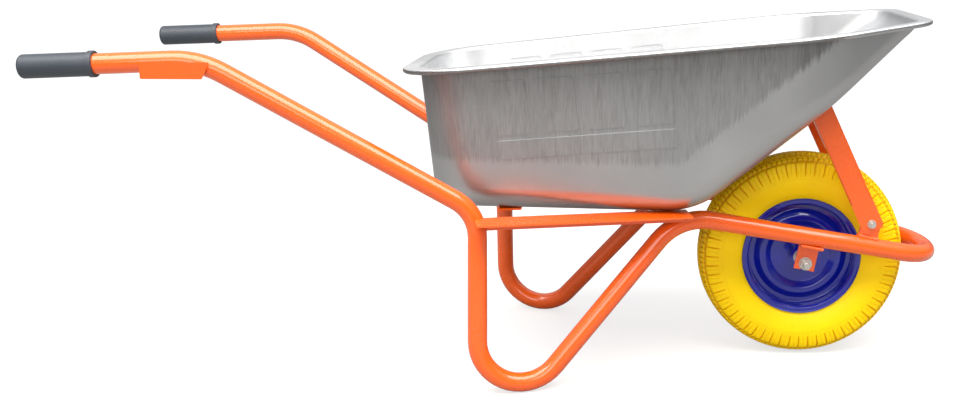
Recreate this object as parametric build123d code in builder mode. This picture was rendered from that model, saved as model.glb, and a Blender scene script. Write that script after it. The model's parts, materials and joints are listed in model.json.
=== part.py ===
from build123d import *

import os
from math import atan2, cos, radians, sin, sqrt, tan

os.makedirs("parts", exist_ok=True)

# A single-wheel barrow. +X runs forward to the wheel, +Y to the left, +Z up. The origin is on
# the ground, midway along the barrow's length, on its plane of symmetry. Lengths are in
# millimetres and angles in degrees.

SIDES = {"left": 1, "right": -1}

# ---- Overall sizes ----
overall_length = 1564.0  # closed end of a grip to the nose of the frame
tyre_radius = 196.0
tyre_width = 96.0

# ---- Clearances ----
slip_gap = 0.05  # radial, round parts that slide together and stay put
bearing_gap = 0.05  # radial, between the balls and their tracks
bolt_gap = 0.4  # radial, a bolt in its hole
grip_gap = 0.1  # radial, tube in its plastic grip
nose_clearance = 28.0  # tyre tread to the inside of the nose tube

# ---- Frame tube ----
tube_od = 33.7
tube_wall = 2.0
handle_run = 285.0  # grip end to the handle bend
handle_rise = 12.0  # the handle climbs this much on its way to the bend
handle_height = 381.0  # grip end above the axle
handle_half_gap = 285.0  # grip end to the plane of symmetry
bend_half_gap = 283.0
leg_behind_axle = 589.0
leg_top_height = 127.0
leg_top_half_gap = 215.0
foot_behind_axle = 594.0
foot_half_gap = 259.0
front_bend_behind_axle = 238.0
front_bend_height = 103.0
front_bend_half_gap = 132.0
nose_height = 9.4
nose_half_gap = 72.0
handle_bend_radius = 135.0
leg_top_radius = 75.0
foot_radius = 78.0
front_bend_radius = 105.0
nose_radius = 75.0

# ---- Grips ----
grip_length = 120.0
grip_od = 39.0
grip_end_wall = 5.0
collar_od = 43.0
collar_length = 9.0
collar_edge_radius = 2.0

# ---- Blank label plate on the right handle ----
label_length = 112.0
label_height = 27.0
label_thickness = 1.2
label_slant = 14.0
label_from_grip_end = 196.0
label_above_axis = 2.0
label_corner_radius = 2.0

# ---- Side rails and cross bars that carry the tray ----
rail_height = 23.0
rail_shelf = 60.0  # width of a rail's top, which the tray lies on
rail_sheet = 3.0
rail_rear_half_gap = 219.0  # outer face of a rail, at the leg
rail_front_behind_axle = 228.0
rail_front_half_gap = 147.0  # outer face of a rail, at the front bend
bar_width = 40.0
bar_thickness = 4.0
rear_bar_behind_axle = 540.0
front_bar_behind_axle = 290.0

# ---- Tray ----
sheet = 1.2
floor_height = 118.0  # underside of the tray above the axle
rim_back_behind_axle = 731.0
rim_length = 927.0
rim_back_height = 361.0  # flange at its rear end above the axle
rim_tilt = 5.7
rim_back_half_width = 207.0
shoulder_half_width = 270.0
nose_flat_half_width = 160.0
shoulder_to_rim_nose = 196.0
back_corner_radius = 134.0
shoulder_radius = 214.0
nose_corner_radius = 70.0
flange_width = 27.0
flange_root_radius = 6.0
bead_radius = 4.5
wall_draft = 5.0
slope_angle = 40.3
slope_foot_behind_axle = 210.0
slope_foot_radius = 150.0
lower_edge_radius = 44.0

# ---- Pressed panels in the tray's sides ----
panel_count = 4
panel_width = 65.0
panel_height = 94.0
panel_pitch = 82.5
panel_rise = 1.8
panel_corner_radius = 6.0
panel_rise_angle = 5.3
panels_from_back = 158.0
panels_below_rim = 30.0
long_panel_width = 316.0
long_panel_height = 32.0
panel_row_gap = 10.0

# ---- Front struts ----
strut_width = 40.0
strut_depth = 14.0
strut_sheet = 2.5
strut_corner_radius = 4.0
strut_flat_end = 62.0  # length without side flanges at the foot
strut_end_margin = 15.0
strut_plate_up_slope = 286.0
strut_plate_thickness = 4.0
strut_plate_overhang = 8.0  # beyond each strut
tab_before_axle = 109.0
tab_width = 36.0
tab_thickness = 4.0
tab_bolt_rise = 44.0  # bolt above the tube's axis
tab_end_margin = 15.0
tab_corner_radius = 9.0

# ---- Axle and its brackets ----
axle_radius = 6.0
axle_half_length = 103.0
axle_chamfer = 1.0
bracket_half_gap = 80.0  # inner face of a bracket to the plane of symmetry
bracket_plate = 4.0
bracket_width = 38.0
bracket_reach = 32.0
bracket_below_axle = 13.0
slot_gap = 0.3

# ---- Bearings and hub ----
bearing_radius = 16.0
bearing_width = 10.0
bearing_half_gap = 28.0  # inner end of a bearing to the plane of symmetry
ball_radius = 3.0
ball_count = 8
ball_pitch_radius = 11.2
inner_ring_radius = 9.4
outer_ring_bore_radius = 13.2
shield_thickness = 0.5
shield_gap = 0.2
hub_radius = 22.0
hub_half_length = 41.0
hub_shoulder = 2.0
spacer_radius = 8.5

# ---- Rim and wheel discs ----
rim_sheet = 2.0
rim_seat_radius = 101.0  # middle of the sheet
rim_flange_radius = 112.5
rim_half_width = 39.0
flange_rise = 3.0
rim_fold_radius = 1.2
disc_face = 14.0  # middle of the hub plate to the plane of symmetry
disc_flat_radius = 56.0
disc_ridge_inner = 68.0
disc_ridge_outer = 76.0
disc_ridge_height = 8.0
disc_trough_radius = 88.0
disc_lip_length = 12.0
disc_bend_radius = 4.0

# ---- Tyre ----
tyre_seat_gap = 0.1
tyre_bulge_radius = 150.0
tyre_shoulder_radius = 184.0
tyre_crown_half_width = 40.0
tyre_crown_drop = 3.0  # from the middle of the crown, halfway to its edge

# ---- Fasteners ----
bolt_radius = 4.0
bolt_head_radius = 9.0
bolt_head_height = 4.5
nut_flats = 13.0
nut_height = 6.5
washer_radius = 8.0
washer_thickness = 1.6
bolt_end = 3.0
floor_bolt_half_gap = 95.0
strut_plate_bolt_half_gap = 45.0
axle_nut_flats = 19.0
axle_nut_height = 10.4
axle_washer_radius = 12.0
axle_washer_thickness = 2.5

# ---- Places worked out from the sizes ----
tube_radius = tube_od / 2
rear_x = -overall_length / 2
nose_x = overall_length / 2
axle_x = nose_x - tube_od - nose_clearance - tyre_radius
axle_z = tyre_radius
floor_z = axle_z + floor_height
rim_back_x = axle_x - rim_back_behind_axle
rim_back_z = axle_z + rim_back_height
slope_foot_x = axle_x - slope_foot_behind_axle


def from_axle(x, y, z):
    """A point from its distances ahead of, left of and above the axle's middle."""
    return Vector(axle_x + x, y, axle_z + z)


def bend_bottom(before, corner, after, radius):
    """The height of the lowest point of an arc that rounds a corner."""
    to_before = (before - corner).normalized()
    to_after = (after - corner).normalized()
    half_angle = radians(to_before.get_angle(to_after)) / 2
    centre = corner + (to_before + to_after).normalized() * (radius / sin(half_angle))
    steepness = to_before.cross(to_after).normalized().Z
    return centre.Z - radius * sqrt(1 - steepness**2)


def side_plane(side, x, y, z, x_dir=(1, 0, 0)):
    """A plane that faces away from the plane of symmetry, at the distance y from it."""
    return Plane(origin=(x, side * y, z), x_dir=x_dir, z_dir=(0, side, 0))


def mirrored(point):
    return Vector(point.X, -point.Y, point.Z)


# ---- Frame: one tube from grip to grip, round both legs and the nose ----
# A grip's end is tilted by the handle's climb, so its lower edge is what reaches furthest back.
grip_end_lean = (grip_od / 2 - grip_end_wall) * handle_rise / handle_run
grip_end = Vector(rear_x + grip_end_lean, handle_half_gap, axle_z + handle_height)
handle_bend = Vector(rear_x + handle_run, bend_half_gap, grip_end.Z + handle_rise)
handle_dir = (handle_bend - grip_end).normalized()
tube_end = grip_end + handle_dir * grip_end_wall
leg_top = from_axle(-leg_behind_axle, leg_top_half_gap, leg_top_height)
front_bend = from_axle(-front_bend_behind_axle, front_bend_half_gap, front_bend_height)
nose_corner = Vector(nose_x - tube_radius, nose_half_gap, axle_z + nose_height)

# The foot's corner point goes as low as makes the tube touch the ground.
foot = from_axle(-foot_behind_axle, foot_half_gap, -axle_z)
for _ in range(20):
    foot_gap = bend_bottom(leg_top, foot, front_bend, foot_radius) - tube_radius
    foot = foot - Vector(0, 0, foot_gap)

half_route = [tube_end, handle_bend, leg_top, foot, front_bend, nose_corner]
route = half_route + [mirrored(point) for point in reversed(half_route)]
half_bends = [handle_bend_radius, leg_top_radius, foot_radius, front_bend_radius, nose_radius]
bends = half_bends + half_bends[::-1]

with BuildLine() as frame_route:
    FilletPolyline(*route, radius=bends)

tube_start = Plane(origin=tube_end, z_dir=handle_dir)

with BuildPart() as frame_tube:
    with BuildSketch(tube_start):
        Circle(tube_radius)
        Circle(tube_radius - tube_wall, mode=Mode.SUBTRACT)
    sweep(path=frame_route.line)
frame_tube.part.label = "frame_tube"

# The tube without its bore cuts the ends of whatever is welded to it.
with BuildPart() as tube_cutter:
    with BuildSketch(tube_start):
        Circle(tube_radius)
    sweep(path=frame_route.line)

# The tube's straight run between the front bend and the nose, seen from the side.
fork_dir = (nose_corner - front_bend).normalized()
fork_side_dir = Vector(fork_dir.X, 0, fork_dir.Z).normalized()
fork_up = Vector(-fork_side_dir.Z, 0, fork_side_dir.X)


def fork_point(ahead_of_axle):
    """The point of the left front run's axis at that distance ahead of the axle."""
    share = (axle_x + ahead_of_axle - front_bend.X) / fork_dir.X
    return front_bend + fork_dir * share


# ---- Grips ----
def make_grip(side):
    end = Vector(grip_end.X, side * grip_end.Y, grip_end.Z)
    direction = Vector(handle_dir.X, side * handle_dir.Y, handle_dir.Z)
    with BuildPart() as grip:
        with BuildSketch(Plane(origin=end, z_dir=direction)):
            Circle(grip_od / 2)
        extrude(amount=grip_length)
        fillet(grip.edges().sort_by(Axis.X)[0], radius=grip_end_wall)
        collar_start = end + direction * (grip_length - collar_length)
        with BuildSketch(Plane(origin=collar_start, z_dir=direction)):
            Circle(collar_od / 2)
        extrude(amount=collar_length)
        fillet(grip.edges().filter_by(GeomType.CIRCLE).sort_by(Axis.X)[-1], radius=collar_edge_radius)
        with BuildSketch(Plane(origin=end + direction * grip_end_wall, z_dir=direction)):
            Circle(tube_radius + grip_gap)
        extrude(amount=grip_length, mode=Mode.SUBTRACT)
    return grip


left_grip = make_grip(SIDES["left"])
left_grip.part.label = "left_grip"
right_grip = make_grip(SIDES["right"])
right_grip.part.label = "right_grip"

# ---- Blank label plate, flat against the outside of the right handle ----
label_start = grip_end + handle_dir * label_from_grip_end
label_plane = side_plane(
    SIDES["right"],
    label_start.X,
    label_start.Y + tube_radius,
    label_start.Z + label_above_axis,
)
with BuildPart() as label_plate:
    with BuildSketch(label_plane):
        with BuildLine():
            Polyline(
                (0, 0),
                (label_length, 0),
                (label_length - label_slant, -label_height),
                (0, -label_height),
                close=True,
            )
        make_face()
    extrude(amount=label_thickness)
    fillet(label_plate.edges().filter_by(Axis.Y), radius=label_corner_radius)
label_plate.part.label = "label_plate"

# ---- Side rails: folded angles from each leg to its front bend ----
rail_rear = Vector(axle_x - foot_behind_axle, rail_rear_half_gap, floor_z)
rail_front = Vector(axle_x - rail_front_behind_axle, rail_front_half_gap, floor_z)
rail_dir = (rail_front - rail_rear).normalized()
rail_length = (rail_front - rail_rear).length


def make_rail(side):
    """The profile starts at the rail's top outer edge; its plane's y runs inwards."""
    direction = Vector(rail_dir.X, side * rail_dir.Y, 0)
    start = Vector(rail_rear.X, side * rail_rear.Y, rail_rear.Z)
    with BuildPart() as rail:
        with BuildSketch(Plane(origin=start, x_dir=(0, 0, 1), z_dir=direction)) as profile:
            with Locations((-rail_height / 2, -side * rail_sheet / 2)):
                Rectangle(rail_height, rail_sheet)
            with Locations((-rail_sheet / 2, -side * rail_shelf / 2)):
                Rectangle(rail_sheet, rail_shelf)
            fillet(profile.vertices().sort_by_distance((0, 0, 0))[0], radius=rail_sheet)
        extrude(amount=rail_length)
        add(tube_cutter.part, mode=Mode.SUBTRACT)
    return rail


left_side_rail = make_rail(SIDES["left"])
left_side_rail.part.label = "left_side_rail"
right_side_rail = make_rail(SIDES["right"])
right_side_rail.part.label = "right_side_rail"


# ---- Cross bars between the rails' shelves, flush with their tops ----
def rail_inside(x):
    """Half the gap between the rails' shelves at x."""
    outer_face = rail_rear.Y + (x - rail_rear.X) * rail_dir.Y / rail_dir.X
    return outer_face - rail_shelf / rail_dir.X


def make_cross_bar(behind_axle):
    back_x = axle_x - behind_axle - bar_width / 2
    front_x = back_x + bar_width
    with BuildPart() as bar:
        with BuildSketch(Plane.XY.offset(floor_z)):
            with BuildLine():
                Polyline(
                    (back_x, -rail_inside(back_x)),
                    (front_x, -rail_inside(front_x)),
                    (front_x, rail_inside(front_x)),
                    (back_x, rail_inside(back_x)),
                    close=True,
                )
            make_face()
            with Locations((back_x + bar_width / 2, 0)):
                with GridLocations(1, 2 * floor_bolt_half_gap, 1, 2):
                    Circle(bolt_radius + bolt_gap, mode=Mode.SUBTRACT)
        extrude(amount=-bar_thickness)
    return bar


rear_cross_bar = make_cross_bar(rear_bar_behind_axle)
rear_cross_bar.part.label = "rear_cross_bar"
front_cross_bar = make_cross_bar(front_bar_behind_axle)
front_cross_bar.part.label = "front_cross_bar"

# ---- Tray: a pressed sheet with a sloping nose, a flange and a rolled edge ----
slope_dir = Vector(cos(radians(slope_angle)), 0, sin(radians(slope_angle)))
slope_out = Vector(slope_dir.Z, 0, -slope_dir.X)
slope_foot = Vector(slope_foot_x, 0, floor_z)
rim_dir = Vector(cos(radians(rim_tilt)), 0, sin(radians(rim_tilt)))
rim_plane = Plane(
    origin=(rim_back_x, 0, rim_back_z),
    x_dir=rim_dir,
    z_dir=(-rim_dir.Z, 0, rim_dir.X),
)
rim_up = Axis(origin=rim_plane.origin, direction=rim_plane.z_dir)
rim_nose_z = rim_back_z + rim_length * tan(radians(rim_tilt))
rim_middle_z = (rim_back_z + rim_nose_z) / 2
press_top_z = rim_nose_z + 4 * bead_radius
top_inset = flange_width - (press_top_z - rim_middle_z) * tan(radians(wall_draft))


def rim_corners(stretch):
    """The corner points of the flange's outline, with its length stretched."""
    shoulder = (rim_length - shoulder_to_rim_nose) * stretch
    nose = rim_length * stretch
    half = [
        (0, rim_back_half_width),
        (shoulder, shoulder_half_width),
        (nose, nose_flat_half_width),
    ]
    return half + [(x, -y) for x, y in reversed(half)]


rim_radii = [back_corner_radius, shoulder_radius, nose_corner_radius]
rim_radii = rim_radii + rim_radii[::-1]


def side_wall_plane(side, inset):
    """A plane on a side wall, where the wall's rear end meets the press plane."""
    widening = atan2(
        shoulder_half_width - rim_back_half_width, rim_length - shoulder_to_rim_nose
    )
    along = Vector(cos(widening), side * sin(widening), 0)
    across = Vector(-sin(widening), side * cos(widening), 0)
    draft = radians(wall_draft)
    corner = Vector(rim_back_x, side * rim_back_half_width, press_top_z)
    origin = corner - across * (top_inset + inset)
    facing = across * cos(draft) - Vector(0, 0, sin(draft))
    return Plane(origin=origin, x_dir=along, z_dir=facing)


def panel_sketch(side, inset):
    """The outlines of the pressed panels, on one side wall."""
    wall = side_wall_plane(side, inset)
    upward = 1 if wall.y_dir.Z > 0 else -1
    first_top = press_top_z - rim_back_z - panels_from_back * tan(radians(rim_tilt))
    start = -upward * (first_top + panels_below_rim)
    long_drop = panel_height + panel_row_gap
    with BuildSketch(wall) as panels:
        with Locations(Location((panels_from_back, start), upward * panel_rise_angle)):
            for index in range(panel_count):
                middle = (index * panel_pitch + panel_width / 2, -upward * panel_height / 2)
                with Locations(middle):
                    RectangleRounded(panel_width, panel_height, panel_corner_radius)
            low_middle = -upward * (long_drop + long_panel_height / 2)
            with Locations((long_panel_width / 2, low_middle)):
                RectangleRounded(long_panel_width, long_panel_height, panel_corner_radius)
    return panels.sketch


def make_tray_form(inset):
    """The solid inside the tray's outer face, or inside its inner face if inset is its wall."""
    floor_line_z = floor_z + inset
    slope_shift = inset / cos(radians(slope_angle))
    steepness = tan(radians(slope_angle))
    far_x = rim_back_x + rim_length + flange_width
    corner_x = slope_foot_x - (slope_shift - inset) / steepness
    slope_end_z = floor_line_z + (far_x - corner_x) * steepness
    with BuildPart() as form:
        with BuildSketch(Plane((rim_back_x, 0, press_top_z))):
            with BuildLine():
                FilletPolyline(*rim_corners(1), radius=rim_radii, close=True)
            make_face()
            offset(amount=-(top_inset + inset), mode=Mode.REPLACE)
        extrude(amount=floor_z - bar_thickness - press_top_z, taper=wall_draft)
        with BuildSketch(Plane.XZ):
            with BuildLine():
                below = FilletPolyline(
                    (rim_back_x, floor_line_z),
                    (corner_x, floor_line_z),
                    (far_x, slope_end_z),
                    radius=slope_foot_radius + inset,
                )
                Polyline(below @ 1, (rim_back_x, slope_end_z), below @ 0)
            make_face()
        extrude(amount=2 * shoulder_half_width, both=True, mode=Mode.INTERSECT)
        under = form.faces().filter_by(lambda face: face.normal_at(face.center()).Z < -0.3)
        seams = under.edges().filter_by(
            lambda edge: sum(edge in face.edges() for face in under) == 1
            and edge.bounding_box().min.Z < press_top_z - 1
        )
        fillet(seams, radius=lower_edge_radius - inset)
        for side in SIDES.values():
            extrude(panel_sketch(side, inset), amount=panel_rise, both=True)
    return form


tray_outside = make_tray_form(0)
tray_inside = make_tray_form(sheet)

strut_plate_plane = Plane(
    origin=slope_foot + slope_dir * strut_plate_up_slope,
    x_dir=slope_dir,
    z_dir=slope_out,
)

with BuildPart() as tray:
    add(tray_outside.part)
    split(bisect_by=rim_plane, keep=Keep.BOTTOM)
    with BuildSketch(rim_plane):
        with BuildLine():
            FilletPolyline(*rim_corners(1 / rim_dir.X), radius=rim_radii, close=True)
        make_face()
        offset(amount=-bead_radius, mode=Mode.REPLACE)
    extrude(amount=sheet)
    add(tray_inside.part, mode=Mode.SUBTRACT)
    flange_faces = tray.faces().filter_by(rim_plane).sort_by(rim_up)
    fillet(flange_faces[0].inner_wires()[0].edges(), radius=flange_root_radius - sheet)
    flange_faces = tray.faces().filter_by(rim_plane).sort_by(rim_up)
    fillet(flange_faces[-1].inner_wires()[0].edges(), radius=flange_root_radius)
    bead_plane = rim_plane.offset(sheet - bead_radius)
    with BuildSketch(bead_plane, mode=Mode.PRIVATE) as bead_outline:
        with BuildLine():
            FilletPolyline(*rim_corners(1 / rim_dir.X), radius=rim_radii, close=True)
        make_face()
        offset(amount=-bead_radius, mode=Mode.REPLACE)
    bead_path = bead_outline.sketch.face().outer_wire()
    with BuildSketch(Plane(origin=bead_path @ 0, z_dir=bead_path % 0)):
        Circle(bead_radius)
    sweep(path=bead_path)
    for x in (-rear_bar_behind_axle, -front_bar_behind_axle):
        with BuildSketch(Plane((axle_x + x, 0, floor_z))):
            with GridLocations(1, 2 * floor_bolt_half_gap, 1, 2):
                Circle(bolt_radius + bolt_gap)
        extrude(amount=2 * sheet, mode=Mode.SUBTRACT)
    with BuildSketch(strut_plate_plane):
        with GridLocations(1, 2 * strut_plate_bolt_half_gap, 1, 2):
            Circle(bolt_radius + bolt_gap)
    extrude(amount=2 * sheet, both=True, mode=Mode.SUBTRACT)
tray.part.label = "tray"

# ---- Strut plate: a cross bar under the tray's sloping nose ----
tab_root = fork_point(tab_before_axle)
tab_bolt = tab_root + fork_up * tab_bolt_rise
strut_face = tab_root.Y + tab_thickness / 2
strut_plate_half_length = strut_face + strut_sheet + strut_plate_overhang

with BuildPart() as strut_plate:
    with BuildSketch(strut_plate_plane):
        RectangleRounded(bar_width, 2 * strut_plate_half_length, panel_corner_radius)
        with GridLocations(1, 2 * strut_plate_bolt_half_gap, 1, 2):
            Circle(bolt_radius + bolt_gap, mode=Mode.SUBTRACT)
    extrude(amount=strut_plate_thickness)
strut_plate.part.label = "strut_plate"


# ---- Tabs on the frame tube that the struts bolt to ----
def make_tab(side):
    inner_face = tab_root.Y - tab_thickness / 2
    plane = side_plane(side, tab_root.X, inner_face, tab_root.Z, fork_side_dir)
    upward = 1 if plane.y_dir.Z > 0 else -1
    tab_height = tab_bolt_rise + tab_end_margin
    with BuildPart() as tab:
        with BuildSketch(plane) as outline:
            with Locations((0, upward * tab_height / 2)):
                Rectangle(tab_width, tab_height)
            top_corners = outline.vertices().filter_by(
                lambda corner: upward * corner.Y > tab_height / 2
            )
            fillet(top_corners, radius=tab_corner_radius)
            with Locations((0, upward * tab_bolt_rise)):
                Circle(bolt_radius + bolt_gap, mode=Mode.SUBTRACT)
        extrude(amount=tab_thickness)
        add(tube_cutter.part, mode=Mode.SUBTRACT)
    return tab


left_strut_tab = make_tab(SIDES["left"])
left_strut_tab.part.label = "left_strut_tab"
right_strut_tab = make_tab(SIDES["right"])
right_strut_tab.part.label = "right_strut_tab"

# ---- Front struts: folded channels, flat at the foot where the bolt goes through ----
strut_top = slope_foot + slope_dir * strut_plate_up_slope + slope_out * strut_plate_thickness
strut_dir = Vector(strut_top.X - tab_bolt.X, 0, strut_top.Z - tab_bolt.Z)
strut_length = strut_dir.length
strut_dir = strut_dir.normalized()


def make_strut(side):
    web_plane = side_plane(side, tab_bolt.X, strut_face, tab_bolt.Z, strut_dir)
    flange_start = tab_bolt + strut_dir * (strut_flat_end - strut_end_margin)
    section_plane = Plane(
        origin=(flange_start.X, side * (strut_face + strut_sheet), flange_start.Z),
        x_dir=(strut_dir.Z, 0, -strut_dir.X),
        z_dir=strut_dir,
    )
    with BuildPart() as strut:
        with BuildSketch(web_plane) as foot_plate:
            with Locations((strut_flat_end / 2 - strut_end_margin, 0)):
                Rectangle(strut_flat_end, strut_width)
            fillet(foot_plate.vertices().group_by(Axis.X)[0], radius=tab_corner_radius)
            Circle(bolt_radius + bolt_gap, mode=Mode.SUBTRACT)
        extrude(amount=strut_sheet)
        with BuildSketch(section_plane) as section:
            with Locations((0, -side * strut_depth / 2)):
                Rectangle(strut_width, strut_depth)
            folds = section.vertices().filter_by(lambda corner: abs(corner.Y) < bolt_gap)
            fillet(folds, radius=strut_corner_radius)
            with Locations((0, -side * (strut_depth / 2 + strut_sheet))):
                Rectangle(strut_width - 2 * strut_sheet, strut_depth, mode=Mode.SUBTRACT)
        extrude(amount=strut_length + strut_width)
        split(bisect_by=strut_plate_plane.offset(strut_plate_thickness), keep=Keep.TOP)
    return strut


left_strut = make_strut(SIDES["left"])
left_strut.part.label = "left_strut"
right_strut = make_strut(SIDES["right"])
right_strut.part.label = "right_strut"

# ---- Axle brackets: angles welded under the front runs, slotted for the axle ----
bracket_drop = fork_point(0).Z - axle_z
bracket_shift = bracket_drop * -fork_side_dir.Z  # along the run, to stand over the axle
slot_fall = bracket_drop * fork_side_dir.X


def make_bracket(side):
    top = fork_point(0)
    plane = side_plane(side, top.X, bracket_half_gap, top.Z, fork_side_dir)
    upward = 1 if plane.y_dir.Z > 0 else -1
    plate_top = -tube_radius
    plate_bottom = -slot_fall - bracket_below_axle
    with BuildPart() as bracket:
        with BuildSketch(plane) as plate:
            with Locations((bracket_shift, upward * (plate_top + plate_bottom) / 2)):
                Rectangle(bracket_width, plate_top - plate_bottom)
            slot_radius = axle_radius + slot_gap
            with Locations((bracket_shift, -upward * slot_fall)):
                Circle(slot_radius, mode=Mode.SUBTRACT)
            with Locations((bracket_shift, -upward * (slot_fall + bracket_below_axle / 2))):
                Rectangle(2 * slot_radius, bracket_below_axle, mode=Mode.SUBTRACT)
        extrude(amount=bracket_plate)
        with BuildSketch(plane):
            with Locations((bracket_shift, upward * (plate_top - bracket_plate / 2))):
                Rectangle(bracket_width, bracket_plate)
        extrude(amount=bracket_reach)
    return bracket


left_axle_bracket = make_bracket(SIDES["left"])
left_axle_bracket.part.label = "left_axle_bracket"
right_axle_bracket = make_bracket(SIDES["right"])
right_axle_bracket.part.label = "right_axle_bracket"

# ---- Axle, spacers, washers and nuts ----
axle_line = Axis(origin=(axle_x, 0, axle_z), direction=(0, 1, 0))
bearing_end = bearing_half_gap + bearing_width
bracket_outside = bracket_half_gap + bracket_plate


def axle_plane(side, distance):
    return side_plane(side, axle_x, distance, axle_z)


with BuildPart() as axle:
    with BuildSketch(axle_plane(1, 0)):
        Circle(axle_radius)
    extrude(amount=axle_half_length, both=True)
    chamfer(axle.edges().filter_by(GeomType.CIRCLE), length=axle_chamfer)
axle.part.label = "axle"

with BuildPart() as bearing_spacer:
    with BuildSketch(axle_plane(1, 0)):
        Circle(spacer_radius)
        Circle(axle_radius + slip_gap, mode=Mode.SUBTRACT)
    extrude(amount=bearing_half_gap, both=True)
bearing_spacer.part.label = "bearing_spacer"

with BuildPart() as axle_spacers:
    for side in SIDES.values():
        with BuildSketch(axle_plane(side, bearing_end)):
            Circle(spacer_radius)
            Circle(axle_radius + slip_gap, mode=Mode.SUBTRACT)
        extrude(amount=bracket_half_gap - bearing_end)
axle_spacers.part.label = "axle_spacers"

with BuildPart() as axle_washers:
    for side in SIDES.values():
        with BuildSketch(axle_plane(side, bracket_outside)):
            Circle(axle_washer_radius)
            Circle(axle_radius + slip_gap, mode=Mode.SUBTRACT)
        extrude(amount=axle_washer_thickness)
axle_washers.part.label = "axle_washers"


def nut_sketch(plane, across_flats, bore_radius):
    with BuildSketch(plane) as outline:
        RegularPolygon(radius=across_flats / 2, side_count=6, major_radius=False)
        Circle(bore_radius, mode=Mode.SUBTRACT)
    return outline.sketch


with BuildPart() as axle_nuts:
    for side in SIDES.values():
        nut_plane = axle_plane(side, bracket_outside + axle_washer_thickness)
        nut_outline = nut_sketch(nut_plane, axle_nut_flats, axle_radius + slip_gap)
        extrude(nut_outline, amount=axle_nut_height)
axle_nuts.part.label = "axle_nuts"

# ---- Bearings: profiles have the distance from the mid-plane across and the radius up ----
wheel_plane = Plane(origin=(axle_x, 0, axle_z), x_dir=(0, 1, 0), z_dir=(1, 0, 0))
track_radius = ball_radius + bearing_gap


def ring_sketch(side, inner_radius, outer_radius):
    middle = side * (bearing_half_gap + bearing_width / 2)
    with BuildSketch(wheel_plane) as ring:
        with Locations((middle, (inner_radius + outer_radius) / 2)):
            Rectangle(bearing_width, outer_radius - inner_radius)
        with Locations((middle, ball_pitch_radius)):
            Circle(track_radius, mode=Mode.SUBTRACT)
    return ring.sketch


def shield_sketch(side):
    middle = side * (bearing_half_gap + bearing_width / 2)
    low = inner_ring_radius + shield_gap
    with BuildSketch(wheel_plane) as shields:
        with Locations((middle, (low + outer_ring_bore_radius) / 2)):
            with GridLocations(bearing_width - shield_thickness, 1, 2, 1):
                Rectangle(shield_thickness, outer_ring_bore_radius - low)
    return shields.sketch


def make_inner_ring(side):
    with BuildPart() as ring:
        revolve(ring_sketch(side, axle_radius + slip_gap, inner_ring_radius), axis=axle_line)
    return ring


def make_outer_ring(side):
    with BuildPart() as ring:
        revolve(ring_sketch(side, outer_ring_bore_radius, bearing_radius), axis=axle_line)
        revolve(shield_sketch(side), axis=axle_line)
    return ring


def make_balls(side):
    with BuildPart() as balls:
        with Locations(axle_plane(side, bearing_half_gap + bearing_width / 2)):
            with PolarLocations(ball_pitch_radius, ball_count):
                Sphere(ball_radius)
    return balls


left_bearing_inner_ring = make_inner_ring(SIDES["left"])
left_bearing_inner_ring.part.label = "left_bearing_inner_ring"
right_bearing_inner_ring = make_inner_ring(SIDES["right"])
right_bearing_inner_ring.part.label = "right_bearing_inner_ring"
left_bearing_outer_ring = make_outer_ring(SIDES["left"])
left_bearing_outer_ring.part.label = "left_bearing_outer_ring"
right_bearing_outer_ring = make_outer_ring(SIDES["right"])
right_bearing_outer_ring.part.label = "right_bearing_outer_ring"
left_bearing_balls = make_balls(SIDES["left"])
left_bearing_balls.part.label = "left_bearing_balls"
right_bearing_balls = make_balls(SIDES["right"])
right_bearing_balls.part.label = "right_bearing_balls"

# ---- Hub: a tube bored at both ends for the bearings ----
with BuildPart() as hub_tube:
    with BuildSketch(axle_plane(1, 0)):
        Circle(hub_radius)
        Circle(bearing_radius - hub_shoulder, mode=Mode.SUBTRACT)
    extrude(amount=hub_half_length, both=True)
    for side in SIDES.values():
        with BuildSketch(axle_plane(side, bearing_half_gap)):
            Circle(bearing_radius + slip_gap)
        extrude(amount=hub_half_length, mode=Mode.SUBTRACT)
hub_tube.part.label = "hub_tube"


# ---- Rim barrel and the two pressed discs that hold it on the hub ----
with BuildPart() as rim_barrel:
    with BuildSketch(wheel_plane):
        flange_start = rim_seat_radius + flange_rise
        flange_y = rim_half_width - rim_sheet
        with BuildLine():
            barrel_line = FilletPolyline(
                (-rim_half_width, rim_flange_radius),
                (-flange_y, rim_flange_radius - flange_rise),
                (-flange_y, flange_start),
                (flange_rise - flange_y, rim_seat_radius),
                (flange_y - flange_rise, rim_seat_radius),
                (flange_y, flange_start),
                (flange_y, rim_flange_radius - flange_rise),
                (rim_half_width, rim_flange_radius),
                radius=rim_fold_radius,
            )
        trace(barrel_line, line_width=rim_sheet)
    revolve(axis=axle_line)
rim_barrel.part.label = "rim_barrel"

disc_lip_radius = rim_seat_radius - rim_sheet - slip_gap


def make_disc(side):
    ridge_y = side * (disc_face + disc_ridge_height)
    low_y = side * disc_face
    with BuildPart() as disc:
        with BuildSketch(wheel_plane):
            with BuildLine():
                disc_line = FilletPolyline(
                    (low_y, hub_radius + slip_gap),
                    (low_y, disc_flat_radius),
                    (ridge_y, disc_ridge_inner),
                    (ridge_y, disc_ridge_outer),
                    (low_y, disc_trough_radius),
                    (low_y, disc_lip_radius),
                    (low_y + side * disc_lip_length, disc_lip_radius),
                    radius=disc_bend_radius,
                )
            trace(disc_line, line_width=rim_sheet)
        revolve(axis=axle_line)
    return disc


left_wheel_disc = make_disc(SIDES["left"])
left_wheel_disc.part.label = "left_wheel_disc"
right_wheel_disc = make_disc(SIDES["right"])
right_wheel_disc.part.label = "right_wheel_disc"

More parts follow.
